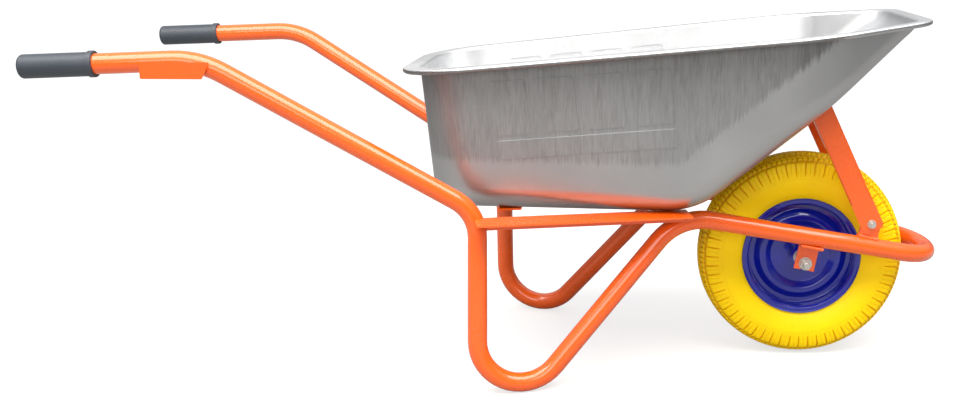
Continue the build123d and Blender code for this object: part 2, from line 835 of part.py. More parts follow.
# ---- Tyre: solid foam between the rim's flanges ----
tyre_seat_radius = rim_seat_radius + rim_sheet / 2 + tyre_seat_gap
bead_half_width = rim_half_width - 1.5 * rim_sheet - tyre_seat_gap
tyre_half_width = tyre_width / 2
with BuildPart() as tyre:
    with BuildSketch(wheel_plane):
        with BuildLine() as half_profile:
            Line((0, tyre_seat_radius), (bead_half_width - flange_rise, tyre_seat_radius))
            Line(
                (bead_half_width - flange_rise, tyre_seat_radius),
                (bead_half_width, tyre_seat_radius + flange_rise),
            )
            Line(
                (bead_half_width, tyre_seat_radius + flange_rise),
                (bead_half_width, rim_flange_radius + flange_rise),
            )
            sidewall = Spline(
                (bead_half_width, rim_flange_radius + flange_rise),
                (tyre_half_width, tyre_bulge_radius),
                (tyre_crown_half_width, tyre_shoulder_radius),
                tangents=((1, 0.6), (-0.6, 1)),
            )
            ThreePointArc(
                sidewall @ 1,
                (tyre_crown_half_width / 2, tyre_radius - tyre_crown_drop),
                (0, tyre_radius),
            )
            mirror(half_profile.line, about=Plane.YZ)
        make_face()
    revolve(axis=axle_line)
tyre.part.label = "tyre"


# ---- Fasteners: mushroom bolts hold the tray, hexagon bolts hold the struts ----
# Each tray bolt has a plane on the tray's underside that faces into the tray, and the
# thickness of the bar below it.
slope_bolt_plane = Plane(
    origin=strut_plate_plane.origin, x_dir=slope_dir, z_dir=slope_out * -1
)
tray_bolt_places = []
for side in SIDES.values():
    for bar_x in (axle_x - rear_bar_behind_axle, axle_x - front_bar_behind_axle):
        floor_place = Plane((bar_x, side * floor_bolt_half_gap, floor_z))
        tray_bolt_places.append((floor_place, bar_thickness))
    slope_place = slope_bolt_plane.shift_origin(
        slope_bolt_plane.from_local_coords((0, side * strut_plate_bolt_half_gap, 0))
    )
    tray_bolt_places.append((slope_place, strut_plate_thickness))


def bolt_profile(place, bar):
    """Half of a mushroom bolt's outline, on a plane through its axis."""
    bolt_bottom = -(bar + washer_thickness + nut_height + bolt_end)
    through = Plane(
        origin=place.origin, x_dir=place.x_dir, z_dir=place.x_dir.cross(place.z_dir)
    )
    with BuildSketch(through) as outline:
        with BuildLine():
            Polyline(
                (0, sheet + bolt_head_height),
                (0, bolt_bottom),
                (bolt_radius, bolt_bottom),
                (bolt_radius, sheet),
                (bolt_head_radius, sheet),
            )
            RadiusArc(
                (bolt_head_radius, sheet),
                (0, sheet + bolt_head_height),
                -(bolt_head_radius**2 + bolt_head_height**2) / (2 * bolt_head_height),
            )
        make_face()
    return outline.sketch


with BuildPart() as tray_bolts:
    for place, bar in tray_bolt_places:
        revolve(bolt_profile(place, bar), axis=Axis(place.origin, place.z_dir))
tray_bolts.part.label = "tray_bolts"

with BuildPart() as tray_washers:
    for place, bar in tray_bolt_places:
        with BuildSketch(place.offset(-bar)):
            Circle(washer_radius)
            Circle(bolt_radius + bolt_gap / 2, mode=Mode.SUBTRACT)
        extrude(amount=-washer_thickness)
tray_washers.part.label = "tray_washers"

with BuildPart() as tray_nuts:
    for place, bar in tray_bolt_places:
        nut_plane = place.offset(-bar - washer_thickness)
        extrude(nut_sketch(nut_plane, nut_flats, bolt_radius + slip_gap), amount=-nut_height)
tray_nuts.part.label = "tray_nuts"


def strut_bolt_plane(side, beyond_strut):
    """A plane across a strut bolt, at that distance outside the strut's flat foot."""
    return side_plane(side, tab_bolt.X, strut_face + strut_sheet + beyond_strut, tab_bolt.Z)


with BuildPart() as strut_bolts:
    for side in SIDES.values():
        grip_thickness = strut_sheet + tab_thickness
        head_plane = strut_bolt_plane(side, -grip_thickness)
        with BuildSketch(head_plane):
            RegularPolygon(radius=nut_flats / 2, side_count=6, major_radius=False)
        extrude(amount=-bolt_head_height)
        with BuildSketch(head_plane):
            Circle(bolt_radius)
        extrude(amount=grip_thickness + washer_thickness + nut_height + bolt_end)
strut_bolts.part.label = "strut_bolts"

with BuildPart() as strut_washers:
    for side in SIDES.values():
        with BuildSketch(strut_bolt_plane(side, 0)):
            Circle(washer_radius)
            Circle(bolt_radius + bolt_gap / 2, mode=Mode.SUBTRACT)
        extrude(amount=washer_thickness)
strut_washers.part.label = "strut_washers"

with BuildPart() as strut_nuts:
    for side in SIDES.values():
        nut_plane = strut_bolt_plane(side, washer_thickness)
        extrude(nut_sketch(nut_plane, nut_flats, bolt_radius + slip_gap), amount=nut_height)
strut_nuts.part.label = "strut_nuts"

pieces = [
    frame_tube,
    left_grip,
    right_grip,
    label_plate,
    left_side_rail,
    right_side_rail,
    rear_cross_bar,
    front_cross_bar,
    tray,
    strut_plate,
    left_strut_tab,
    right_strut_tab,
    left_strut,
    right_strut,
    left_axle_bracket,
    right_axle_bracket,
    axle,
    bearing_spacer,
    axle_spacers,
    axle_washers,
    axle_nuts,
    left_bearing_inner_ring,
    right_bearing_inner_ring,
    left_bearing_outer_ring,
    right_bearing_outer_ring,
    left_bearing_balls,
    right_bearing_balls,
    hub_tube,
    rim_barrel,
    left_wheel_disc,
    right_wheel_disc,
    tyre,
    tray_bolts,
    tray_washers,
    tray_nuts,
    strut_bolts,
    strut_washers,
    strut_nuts,
]

for piece in pieces:
    export_step(piece.part, f"parts/{piece.part.label}.step")
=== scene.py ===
# %% [markdown]
# # A wheelbarrow around its fixed frame
#
# The barrow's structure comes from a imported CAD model: every tube, plate and fastener already has
# its true size and place. This lesson keeps that frame, gives each part the finish of the real
# thing, and builds the pieces that need more than CAD gives them: the treaded tyre, the nuts with
# turned corners, the thread ridges and the weld beads.

# %% Load the frame
import json
import math

import bmesh
import bpy
import numpy
from mathutils import Matrix, Vector
from mathutils.bvhtree import BVHTree


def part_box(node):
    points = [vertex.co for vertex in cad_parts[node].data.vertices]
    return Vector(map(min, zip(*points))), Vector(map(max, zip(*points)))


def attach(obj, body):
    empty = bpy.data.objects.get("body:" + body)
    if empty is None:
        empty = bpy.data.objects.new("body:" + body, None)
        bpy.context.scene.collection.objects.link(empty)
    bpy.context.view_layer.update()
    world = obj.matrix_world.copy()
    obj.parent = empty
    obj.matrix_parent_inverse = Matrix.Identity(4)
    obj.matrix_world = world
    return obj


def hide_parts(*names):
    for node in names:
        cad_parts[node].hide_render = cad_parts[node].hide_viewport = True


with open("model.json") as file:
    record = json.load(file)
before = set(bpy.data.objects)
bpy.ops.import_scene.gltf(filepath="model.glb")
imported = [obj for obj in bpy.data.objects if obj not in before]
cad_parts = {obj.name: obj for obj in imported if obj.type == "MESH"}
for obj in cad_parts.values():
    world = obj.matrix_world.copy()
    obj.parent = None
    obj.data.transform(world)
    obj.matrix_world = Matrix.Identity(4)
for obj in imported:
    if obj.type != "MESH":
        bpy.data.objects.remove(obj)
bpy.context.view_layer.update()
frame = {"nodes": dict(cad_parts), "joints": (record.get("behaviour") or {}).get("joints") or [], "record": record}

# %% [markdown]
# ## Where things are
#
# The wheel's centre is the pivot of its joint, and the tray's floor is the bottom of the tray's
# box. The nuts, threads and welds are placed by measuring the CAD parts too. The tyre's section,
# the tray's slope and its smooth band are plain numbers, so they need care if the CAD changes.

# %% Measures from the frame
SIDES = {"left": 1, "right": -1}
AXLE = Vector(frame["joints"][0]["pos_m"])
floor_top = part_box("tray")[0].z
print(f"axle at x {AXLE.x:.3f} m, z {AXLE.z:.3f} m, tray floor at z {floor_top:.3f} m")

# %% [markdown]
# ## The camera
#
# A camera is three turns and a place. It pans a little to one side, tilts down by about thirteen
# degrees and rolls by a third of a degree. To frame the barrow, the lens is shifted sideways and
# the camera isn't turned, which would slant the barrow's uprights.

# %% Camera
LENS_IN_WIDTHS = 1.1888  # focal length over the sensor's width
SIDEWAYS_SHIFT = -0.1597
CAMERA_PLACE = (0.1882, -2.1078, 0.7915)
PAN, TILT_DOWN, ROLL = -0.00426, 0.23118, 0.00617  # in radians
camera_data = bpy.data.cameras.new("camera")
camera_data.lens = LENS_IN_WIDTHS * camera_data.sensor_width
camera_data.shift_x = SIDEWAYS_SHIFT
camera = bpy.data.objects.new("camera", camera_data)
bpy.context.scene.collection.objects.link(camera)
pan = Matrix.Rotation(PAN, 4, "Z")
tilt = Matrix.Rotation(math.pi / 2 - TILT_DOWN, 4, "X")
roll = Matrix.Rotation(ROLL, 4, "Z")
camera.matrix_world = Matrix.Translation(CAMERA_PLACE) @ pan @ tilt @ roll
bpy.context.scene.camera = camera
print(f"lens {camera_data.lens:.1f} mm")

# %% [markdown]
# ## A studio with a white floor
#
# Painted tubes are drawn by what they reflect. A long soft box overhead gives each tube
# its pale band, and the rest of the light is like an overcast sky: bright above, dim towards the
# horizon, so that the zinc walls turn mid grey while the tray's inside and rim stay nearly white.
# The tray's outside also has painted shade in its colour.
# The floor is white to the camera and fades to a glowing white far away, so it has no horizon.
# To every other ray it is a dim grey, which keeps the undersides of the tubes deep in colour.

# %% Floor, lights and surround
FLOOR_SIZE = 60.0
SHADOW_REACH = (0.9, 2.4)  # the floor shows shadows up to here, and glows beyond
FLOOR_GLOW = 0.62  # share of the glow in the part that shows shadows
FLOOR_WHITE = (0.93, 0.93, 0.93, 1)
FLOOR_GREY = (0.33, 0.325, 0.32, 1)
BACKDROP_GLOW = 1.1
SKY_LOW, SKY_HIGH = (0.085, 0.087, 0.09, 1), (0.97, 0.985, 1.0, 1)
SKY_TOP = 0.60  # how far up the sky is at its brightest
SKY_STRENGTH = 0.85


def mesh_from(name, vertices, faces):
    """A new object at the origin from lists of vertices and faces."""
    mesh = bpy.data.meshes.new(name)
    mesh.from_pydata([tuple(v) for v in vertices], [], faces)
    mesh.update()
    piece = bpy.data.objects.new(name, mesh)
    bpy.context.scene.collection.objects.link(piece)
    return piece


half = FLOOR_SIZE / 2
floor_corners = [(-half, -half, 0), (half, -half, 0), (half, half, 0), (-half, half, 0)]
studio_floor = mesh_from("studio_floor", floor_corners, [(0, 1, 2, 3)])
floor_paint = bpy.data.materials.new("studio_floor_paint")
floor_paint.use_nodes = True
floor_nodes = floor_paint.node_tree.nodes
floor_links = floor_paint.node_tree.links
floor_nodes.clear()
floor_place = floor_nodes.new("ShaderNodeTexCoord")
floor_reach = floor_nodes.new("ShaderNodeVectorMath")
floor_reach.operation = "LENGTH"
floor_fade = floor_nodes.new("ShaderNodeMapRange")
floor_fade.interpolation_type = "SMOOTHSTEP"
floor_fade.inputs["From Min"].default_value = SHADOW_REACH[0]
floor_fade.inputs["From Max"].default_value = SHADOW_REACH[1]
floor_fade.inputs["To Min"].default_value = FLOOR_GLOW
near_floor = floor_nodes.new("ShaderNodeBsdfDiffuse")
near_floor.inputs["Color"].default_value = FLOOR_WHITE
far_floor = floor_nodes.new("ShaderNodeEmission")
far_floor.inputs["Strength"].default_value = BACKDROP_GLOW
dim_floor = floor_nodes.new("ShaderNodeBsdfDiffuse")
dim_floor.inputs["Color"].default_value = FLOOR_GREY
seen_floor = floor_nodes.new("ShaderNodeMixShader")
either_floor = floor_nodes.new("ShaderNodeMixShader")
floor_rays = floor_nodes.new("ShaderNodeLightPath")
floor_out = floor_nodes.new("ShaderNodeOutputMaterial")
floor_links.new(floor_place.outputs["Object"], floor_reach.inputs[0])
floor_links.new(floor_reach.outputs["Value"], floor_fade.inputs["Value"])
floor_links.new(floor_fade.outputs["Result"], seen_floor.inputs["Fac"])
floor_links.new(near_floor.outputs[0], seen_floor.inputs[1])
floor_links.new(far_floor.outputs[0], seen_floor.inputs[2])
floor_links.new(floor_rays.outputs["Is Camera Ray"], either_floor.inputs["Fac"])
floor_links.new(dim_floor.outputs[0], either_floor.inputs[1])
floor_links.new(seen_floor.outputs[0], either_floor.inputs[2])
floor_links.new(either_floor.outputs[0], floor_out.inputs["Surface"])
studio_floor.data.materials.append(floor_paint)


def soft_box(name, place, target, width, depth, watts, colour):
    """A rectangular area light that faces its target."""
    data = bpy.data.lights.new(name, "AREA")
    data.shape = "RECTANGLE"
    data.size = width
    data.size_y = depth
    data.energy = watts
    data.color = colour
    light = bpy.data.objects.new(name, data)
    light.location = place
    light.rotation_euler = (Vector(target) - Vector(place)).to_track_quat("-Z", "Y").to_euler()
    bpy.context.scene.collection.objects.link(light)


soft_box(
    "ceiling_box", place=(0.1, -1.0, 2.7), target=(0.1, -0.2, 0.3),
    width=4.4, depth=2.0, watts=205, colour=(1, 0.96, 0.90),
)
soft_box(
    "front_fill", place=(-0.6, -4.2, 1.9), target=(0.1, 0, 0.35),
    width=3.4, depth=1.5, watts=62, colour=(1, 0.98, 0.95),
)

world = bpy.data.worlds.new("surround")
bpy.context.scene.world = world
world.use_nodes = True
world_nodes = world.node_tree.nodes
world_links = world.node_tree.links
world_nodes.clear()
direction = world_nodes.new("ShaderNodeTexCoord")
upness = world_nodes.new("ShaderNodeSeparateXYZ")
shades = world_nodes.new("ShaderNodeValToRGB")
shades.color_ramp.elements[0].position = 0.0
shades.color_ramp.elements[0].color = SKY_LOW
shades.color_ramp.elements[1].position = SKY_TOP
shades.color_ramp.elements[1].color = SKY_HIGH
surround = world_nodes.new("ShaderNodeBackground")
surround.inputs["Strength"].default_value = SKY_STRENGTH
backdrop = world_nodes.new("ShaderNodeBackground")
backdrop.inputs["Color"].default_value = (1, 1, 1, 1)
backdrop.inputs["Strength"].default_value = BACKDROP_GLOW
seen = world_nodes.new("ShaderNodeLightPath")
chosen = world_nodes.new("ShaderNodeMixShader")
world_out = world_nodes.new("ShaderNodeOutputWorld")
world_links.new(direction.outputs["Generated"], upness.inputs[0])
world_links.new(upness.outputs["Z"], shades.inputs["Fac"])
world_links.new(shades.outputs["Color"], surround.inputs["Color"])
world_links.new(seen.outputs["Is Camera Ray"], chosen.inputs["Fac"])
world_links.new(surround.outputs[0], chosen.inputs[1])
world_links.new(backdrop.outputs[0], chosen.inputs[2])
world_links.new(chosen.outputs[0], world_out.inputs["Surface"])
bpy.context.scene.view_settings.view_transform = "Standard"
print("studio ready")

# %% [markdown]
# ## A small kit for materials
#
# Every finish below is a node tree on one Principled shader. These helpers keep the trees short:
# one adds a node and sets its plain values, one wires nodes together. Patterns read Object
# coordinates, and as every piece sits at the origin, a pattern is measured in real metres.

# %% Material helpers
NOISE_MIDDLE = (0.35, 0.65)  # most of a noise's values lie between these
RANGE_SOCKETS = ("From Min", "From Max", "To Min", "To Max")


class Finish:
    """A material with one Principled shader, and short ways to add nodes to it."""

    def __init__(self, name, **constants):
        self.material = bpy.data.materials.new(name)
        self.material.use_nodes = True
        self.tree = self.material.node_tree
        self.shader = self.tree.nodes["Principled BSDF"]
        for socket, value in constants.items():
            self.shader.inputs[socket.replace("_", " ")].default_value = value

    def node(self, kind, **values):
        made = self.tree.nodes.new(kind)
        for key, value in values.items():
            setattr(made, key, value)
        return made

    def place(self, group, **inputs):
        made = self.node("ShaderNodeGroup", node_tree=group)
        for socket, value in inputs.items():
            made.inputs[socket.replace("_", " ")].default_value = value
        return made

    def wire(self, output, socket):
        self.tree.links.new(output, socket)

    def feed(self, output, shader_input):
        self.wire(output, self.shader.inputs[shader_input])

    def ramp(self, source, start, end, low=0.0, high=1.0):
        """A soft step from low to high as the source goes from start to end."""
        node = self.node("ShaderNodeMapRange", interpolation_type="SMOOTHSTEP")
        for socket, value in zip(RANGE_SOCKETS, (start, end, low, high)):
            node.inputs[socket].default_value = value
        self.wire(source, node.inputs["Value"])
        return node.outputs["Result"]

    def bump(self, height, depth):
        node = self.node("ShaderNodeBump")
        node.inputs["Distance"].default_value = depth
        node.inputs["Strength"].default_value = 1.0
        self.wire(height, node.inputs["Height"])
        self.feed(node.outputs["Normal"], "Normal")


def new_group(name, inputs, outputs):
    """A shader node group with float or colour sockets, and its two end nodes."""
    group = bpy.data.node_groups.new(name, "ShaderNodeTree")
    for label, value in inputs.items():
        kind = "NodeSocketColor" if isinstance(value, tuple) else "NodeSocketFloat"
        socket = group.interface.new_socket(label, in_out="INPUT", socket_type=kind)
        socket.default_value = value
    for label, kind in outputs.items():
        group.interface.new_socket(label, in_out="OUTPUT", socket_type=kind)
    return group, group.nodes.new("NodeGroupInput"), group.nodes.new("NodeGroupOutput")


def noise(tree, scale, detail=3.0, roughness=0.55):
    node = tree.nodes.new("ShaderNodeTexNoise")
    node.inputs["Scale"].default_value = scale
    node.inputs["Detail"].default_value = detail
    node.inputs["Roughness"].default_value = roughness
    coordinates = tree.nodes.new("ShaderNodeTexCoord")
    tree.links.new(coordinates.outputs["Object"], node.inputs["Vector"])
    return node


def spread(tree, source, low, high):
    """Stretches a noise's middle range over low to high."""
    node = tree.nodes.new("ShaderNodeMapRange")
    for socket, value in zip(RANGE_SOCKETS, (*NOISE_MIDDLE, low, high)):
        node.inputs[socket].default_value = value
    tree.links.new(source, node.inputs["Value"])
    return node.outputs["Result"]


print("material helpers ready")

# %% [markdown]
# ### Orange peel
#
# Paint that is sprayed or baked on a surface isn't flat. It dries in low soft lumps a few
# millimetres across, which painters call orange peel, and it breaks up a reflection's edge. The
# frame, the rim and the grips all need it, so it is a group with its own size.

# %% Shared effect: orange peel
peel_group, peel_in, peel_out = new_group(
    "orange_peel", {"Lump size": 0.0018}, {"Height": "NodeSocketFloat"}
)
peel_scale = peel_group.nodes.new("ShaderNodeMath")
peel_scale.operation = "DIVIDE"
peel_scale.inputs[0].default_value = 1.0
peel_group.links.new(peel_in.outputs["Lump size"], peel_scale.inputs[1])
peel_noise = noise(peel_group, 1.0, detail=1.5)
peel_group.links.new(peel_scale.outputs[0], peel_noise.inputs["Scale"])
peel_group.links.new(peel_noise.outputs["Fac"], peel_out.inputs["Height"])
print("group:", peel_group.name)

# %% [markdown]
# ### Handling marks
#
# Nothing stays one colour. A second group mixes a colour with a slightly duller one in cloudy
# patches a hand's width across, and adds fine specks of dust. It also gives a roughness that
# rises where the surface is dull, so the gloss varies with the colour.

# %% Shared effect: handling marks
SPECK_SHARE = 0.35
marks_group, marks_in, marks_out = new_group(
    "handling_marks",
    {
        "Colour": (0.8, 0.8, 0.8, 1), "Dull colour": (0.6, 0.6, 0.6, 1),
        "Amount": 0.4, "Gloss": 0.3, "Dullness": 0.1,
    },
    {"Colour": "NodeSocketColor", "Roughness": "NodeSocketFloat"},
)
cloud_noise = noise(marks_group, 9.0, detail=5.0)
speck_noise = noise(marks_group, 240.0, detail=4.0, roughness=0.7)
clouds = spread(marks_group, cloud_noise.outputs["Fac"], 0.0, 1.0)
specks = spread(marks_group, speck_noise.outputs["Fac"], -0.6, 1.0)
both = marks_group.nodes.new("ShaderNodeMath")
both.operation = "MULTIPLY_ADD"
both.inputs[1].default_value = SPECK_SHARE
both.use_clamp = True
marks_group.links.new(specks, both.inputs[0])
marks_group.links.new(clouds, both.inputs[2])
marked = marks_group.nodes.new("ShaderNodeMath")
marked.operation = "MULTIPLY"
marks_group.links.new(both.outputs[0], marked.inputs[0])
marks_group.links.new(marks_in.outputs["Amount"], marked.inputs[1])
colours = marks_group.nodes.new("ShaderNodeMix")
colours.data_type = "RGBA"
marks_group.links.new(marked.outputs[0], colours.inputs["Factor"])
marks_group.links.new(marks_in.outputs["Colour"], colours.inputs[6])
marks_group.links.new(marks_in.outputs["Dull colour"], colours.inputs[7])
marks_group.links.new(colours.outputs[2], marks_out.inputs["Colour"])
roughened = marks_group.nodes.new("ShaderNodeMath")
roughened.operation = "MULTIPLY_ADD"
marks_group.links.new(marked.outputs[0], roughened.inputs[0])
marks_group.links.new(marks_in.outputs["Dullness"], roughened.inputs[1])
marks_group.links.new(marks_in.outputs["Gloss"], roughened.inputs[2])
marks_group.links.new(roughened.outputs[0], marks_out.inputs["Roughness"])
print("group:", marks_group.name)

# %% [markdown]
# ## Paints and plastics
#
# Powder coat, rim enamel and grip plastic are one recipe with different numbers: handling marks
# for colour and roughness, orange peel for bump, and a clear coat where the paint is glossy. A
# function that takes the numbers says plainly how the finishes differ.

# %% Painted and moulded finishes


def coated(name, colour, dull_colour, amount, gloss, dullness, lump, depth, **constants):
    """A finish with handling marks and orange peel; what is even all over goes to constants."""
    finish = Finish(name, **constants)
    marks = finish.place(marks_group, Amount=amount, Gloss=gloss, Dullness=dullness)
    marks.inputs["Colour"].default_value = (*colour, 1)
    marks.inputs["Dull colour"].default_value = (*dull_colour, 1)
    finish.feed(marks.outputs["Colour"], "Base Color")
    finish.feed(marks.outputs["Roughness"], "Roughness")
    peel = finish.place(peel_group, Lump_size=lump)
    finish.bump(peel.outputs["Height"], depth)
    return finish.material


orange_paint = coated(
    "orange_powder_coat", colour=(0.88, 0.112, 0.004), dull_colour=(0.80, 0.092, 0.004),
    amount=0.30, gloss=0.26, dullness=0.06, lump=0.0034, depth=0.000010,
    Coat_Weight=0.75, Coat_Roughness=0.07, Specular_IOR_Level=0.4,
)
label_paint = coated(
    "label_paint", colour=(0.88, 0.105, 0.004), dull_colour=(0.80, 0.088, 0.004),
    amount=0.3, gloss=0.38, dullness=0.1, lump=0.0030, depth=0.00002,
    Coat_Weight=0.2, Coat_Roughness=0.25,
)
blue_enamel = coated(
    "blue_enamel", colour=(0.002, 0.008, 0.30), dull_colour=(0.003, 0.010, 0.22),
    amount=0.5, gloss=0.14, dullness=0.10, lump=0.0040, depth=0.00003,
    Coat_Weight=0.7, Coat_Roughness=0.05, Specular_IOR_Level=0.4,
)
grip_plastic = coated(
    "grip_plastic", colour=(0.026, 0.034, 0.048), dull_colour=(0.040, 0.048, 0.060),
    amount=0.7, gloss=0.42, dullness=0.14, lump=0.0012, depth=0.00004,
    Specular_IOR_Level=0.55,
)
print("paints:", [m.name for m in (orange_paint, label_paint, blue_enamel, grip_plastic)])

# %% [markdown]
# ## Zinc fasteners and bearing steel
#
# Zinc plate is bright but slightly cloudy, with a warm cast. It is a metal, so its colour tints
# the reflection, and fine noise in the roughness keeps it from looking like chrome.

# %% Metal finishes
BARE_METAL = {"amount": 0.9, "Metallic": 1.0}
zinc_fastener = coated(
    "zinc_fastener", colour=(0.80, 0.79, 0.75), dull_colour=(0.52, 0.52, 0.50),
    gloss=0.24, dullness=0.22, lump=0.0012, depth=0.00004, **BARE_METAL,
)
bearing_steel = coated(
    "bearing_steel", colour=(0.62, 0.61, 0.58), dull_colour=(0.44, 0.43, 0.42),
    gloss=0.22, dullness=0.15, lump=0.0015, depth=0.00002, **BARE_METAL,
)
print("metals:", [m.name for m in (zinc_fastener, bearing_steel)])

# %% [markdown]
# ## The tray's zinc sheet
#
# The tray is pressed from galvanised sheet. As the sheet is drawn down into the die its sides are
# scored from the rim downwards, while a band as wide as a hand round the floor and up the nose
# never slides and stays smooth. The scores are a noise squeezed along the walls and stretched
# down them. The smooth band is the distance to the floor's plane or to the nose's slope, whichever
# is less, so it follows the tray's shape with no painting by hand.

# %% Tray finish
SLOPE = math.radians(40.3)  # of the tray's nose
SMOOTH_BAND = 0.088
BAND_EDGE = (SMOOTH_BAND - 0.004, SMOOTH_BAND + 0.012)
RAGGED_BY = 0.030
SCORE_GRAIN = (330.0, 330.0, 5.0)  # how often the scores repeat in a metre, along X, Y and Z
STREAK_GRAIN = (70.0, 70.0, 4.0)
SCORE_LEAN = math.radians(-7)
SCORE_DEPTH = 0.00018
RIM_SHADE = (0.14, 0.30, 0.22, 0.62)  # from and to heights over the floor, and their shades
INSIDE_SHADE = 0.15  # share of the scores' shade that the inside keeps
BRIGHT_ZINC, PALE_ZINC = (0.66, 0.67, 0.685, 1), (0.74, 0.75, 0.765, 1)
# The first colour below darkens the tray's outside as painted shade. The second is the dark of the scores, which
# the outside takes in full: real scoring, with painted shade on the outside.
SHADED_OUTSIDE_ZINC, SCORED_AND_SHADED_ZINC = (0.60, 0.605, 0.61, 1), (0.145, 0.142, 0.14, 1)
plate_low, plate_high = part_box("strut_plate")
slope_point = (plate_low + plate_high) / 2
zinc_sheet = Finish("zinc_sheet", Metallic=1.0, Specular_IOR_Level=0.5)
tree = zinc_sheet.tree


def math_node(tree, operation, first, second=None, third=None, clamp=False):
    """One Math node; each of its inputs is a number or another node's output."""
    node = tree.nodes.new("ShaderNodeMath")
    node.operation = operation
    node.use_clamp = clamp
    for index, value in enumerate((first, second, third)):
        if value is None:
            continue
        if isinstance(value, (int, float)):
            node.inputs[index].default_value = value
        else:
            tree.links.new(value, node.inputs[index])
    return node.outputs[0]


coordinates = zinc_sheet.node("ShaderNodeTexCoord")
position = zinc_sheet.node("ShaderNodeSeparateXYZ")
zinc_sheet.wire(coordinates.outputs["Object"], position.inputs[0])
above_floor = math_node(tree, "SUBTRACT", position.outputs["Z"], floor_top)
up_slope = math_node(tree, "MULTIPLY", position.outputs["Z"], math.cos(SLOPE))
along_slope = math_node(tree, "MULTIPLY", position.outputs["X"], math.sin(SLOPE))
slope_level = slope_point.z * math.cos(SLOPE) - slope_point.x * math.sin(SLOPE)
slope_height = math_node(tree, "SUBTRACT", up_slope, along_slope)
off_slope = math_node(tree, "SUBTRACT", slope_height, slope_level)
band_place = math_node(tree, "MINIMUM", above_floor, off_slope)

# Scores: narrow across the wall, long down it. The edge of the band is ragged where they end.
def streaks(grain, lean, detail, roughness):
    """A noise squeezed by grain along each axis and leaned over."""
    squeeze = zinc_sheet.node("ShaderNodeMapping")
    squeeze.inputs["Scale"].default_value = grain
    squeeze.inputs["Rotation"].default_value = (0.0, lean, 0.0)
    zinc_sheet.wire(coordinates.outputs["Object"], squeeze.inputs["Vector"])
    made = zinc_sheet.node("ShaderNodeTexNoise")
    for socket, value in (("Scale", 1.0), ("Detail", detail), ("Roughness", roughness)):
        made.inputs[socket].default_value = value
    zinc_sheet.wire(squeeze.outputs["Vector"], made.inputs["Vector"])
    return made.outputs["Fac"]


scores = streaks(SCORE_GRAIN, SCORE_LEAN, detail=6.0, roughness=0.62)
coarse = streaks(STREAK_GRAIN, 0.0, detail=4.0, roughness=0.5)
ragged = math_node(tree, "MULTIPLY_ADD", scores, RAGGED_BY, -RAGGED_BY / 2)
scored = zinc_sheet.ramp(math_node(tree, "ADD", band_place, ragged), *BAND_EDGE)
score_strength = math_node(tree, "MULTIPLY", scored, spread(tree, coarse, 0.45, 1.0))
score_shade = math_node(tree, "MULTIPLY", spread(tree, scores, 0.0, 1.0), score_strength)

# The outside of the tray faces away from its middle and a little down. Its colour is painted darker
# than the inside's, a painted shade for the side that the light from above reaches less.
facing_way = zinc_sheet.node("ShaderNodeNewGeometry")
facing_parts = zinc_sheet.node("ShaderNodeSeparateXYZ")
zinc_sheet.wire(facing_way.outputs["True Normal"], facing_parts.inputs[0])
tray_low, tray_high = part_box("tray")
tray_middle = (tray_low + tray_high) / 2
from_middle = math_node(tree, "SUBTRACT", position.outputs["X"], tray_middle.x)
outward_x = math_node(tree, "MULTIPLY", from_middle, facing_parts.outputs["X"])
outward_y = math_node(tree, "MULTIPLY", position.outputs["Y"], facing_parts.outputs["Y"])
outward = math_node(tree, "ADD", outward_x, outward_y)
outward = math_node(tree, "MULTIPLY_ADD", facing_parts.outputs["Z"], -0.6, outward)
outside = zinc_sheet.ramp(outward, -0.02, 0.02)
zinc_clouds = spread(tree, noise(tree, 5.0, detail=4.0).outputs["Fac"], 0.0, 1.0)
spangle = spread(tree, noise(tree, 320.0, detail=2.0).outputs["Fac"], 0.0, 1.0)
cloudy = zinc_sheet.node("ShaderNodeMix", data_type="RGBA")
cloudy.inputs[6].default_value = BRIGHT_ZINC
cloudy.inputs[7].default_value = PALE_ZINC
cloud_share = math_node(tree, "MULTIPLY_ADD", spangle, 0.25, zinc_clouds, clamp=True)
zinc_sheet.wire(cloud_share, cloudy.inputs["Factor"])
outside_shaded = zinc_sheet.node("ShaderNodeMix", data_type="RGBA", blend_type="MULTIPLY")
outside_shaded.inputs[7].default_value = SHADED_OUTSIDE_ZINC
zinc_sheet.wire(outside, outside_shaded.inputs["Factor"])
zinc_sheet.wire(cloudy.outputs[2], outside_shaded.inputs[6])
# The scored wall also darkens with height towards the rim. That and the scores' pattern fall in full on the
# outside and only in a small share on the inside, which is painted shade on the outside.
even_shade = math_node(tree, "MULTIPLY", scored, zinc_sheet.ramp(above_floor, *RIM_SHADE))
full_shade = math_node(tree, "MULTIPLY_ADD", score_shade, 0.30, even_shade, clamp=True)
inside_share = math_node(tree, "MULTIPLY_ADD", outside, 1 - INSIDE_SHADE, INSIDE_SHADE)
darkened = zinc_sheet.node("ShaderNodeMix", data_type="RGBA")
darkened.inputs[7].default_value = SCORED_AND_SHADED_ZINC
zinc_sheet.wire(math_node(tree, "MULTIPLY", full_shade, inside_share), darkened.inputs["Factor"])
zinc_sheet.wire(outside_shaded.outputs[2], darkened.inputs[6])
zinc_sheet.feed(darkened.outputs[2], "Base Color")
scored_roughness = math_node(tree, "MULTIPLY_ADD", scored, 0.10, 0.36)
zinc_roughness = math_node(tree, "MULTIPLY_ADD", zinc_clouds, 0.05, scored_roughness)
zinc_sheet.feed(zinc_roughness, "Roughness")
zinc_sheet.bump(math_node(tree, "MULTIPLY", scores, score_strength), SCORE_DEPTH)
print("zinc sheet: smooth band", SMOOTH_BAND, "m")

# %% [markdown]
# ## Foamed tyre rubber
#
# The tyre is solid polyurethane foam in a strong yellow. Dirt and shade gather between its tread
# blocks and turn amber there. The mesh will carry that as a vertex attribute called groove, which
# is 1 at the bottom of the tread and 0 on its faces, so the colour follows the shape exactly.

